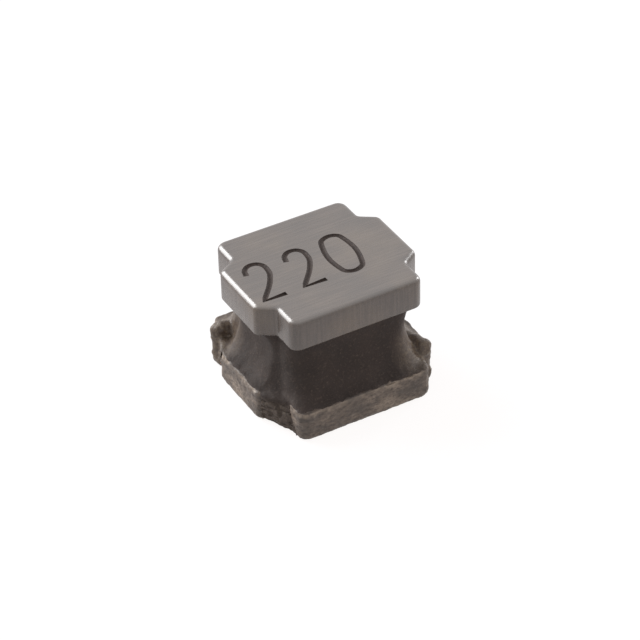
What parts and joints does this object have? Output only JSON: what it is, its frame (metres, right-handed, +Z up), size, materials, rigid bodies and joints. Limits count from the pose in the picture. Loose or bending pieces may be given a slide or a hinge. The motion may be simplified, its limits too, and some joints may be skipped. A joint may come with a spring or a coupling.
{
  "type": "shielded smd inductor",
  "caption": "Surface-mount power inductor: waisted ferrite drum core with a wire winding on its post, magnetic resin around it and two soldered terminals underneath.",
  "frame": {"origin": "bottom centre, on the plane that the two terminals stand on", "axes": "+Z up through the post, +X from the left terminal to the right one, +Y to the back"},
  "size_m": [0.006, 0.006, 0.0043],
  "materials": {
    "ferrite": "ground and tumbled nickel-zinc ferrite",
    "enamelled_copper": "clear enamel over copper",
    "magnetic_resin": "cured resin filled with magnetic powder",
    "terminal_metal": "satin tin over fired silver",
    "solder": "bright tin solder"
  },
  "bodies": {
    "root": {"drum_core": "ferrite", "winding": "enamelled_copper", "resin_shield": "magnetic_resin", "terminal_left": "terminal_metal", "terminal_right": "terminal_metal", "solder_left": "solder", "solder_right": "solder"}
  },
  "joints": []
}
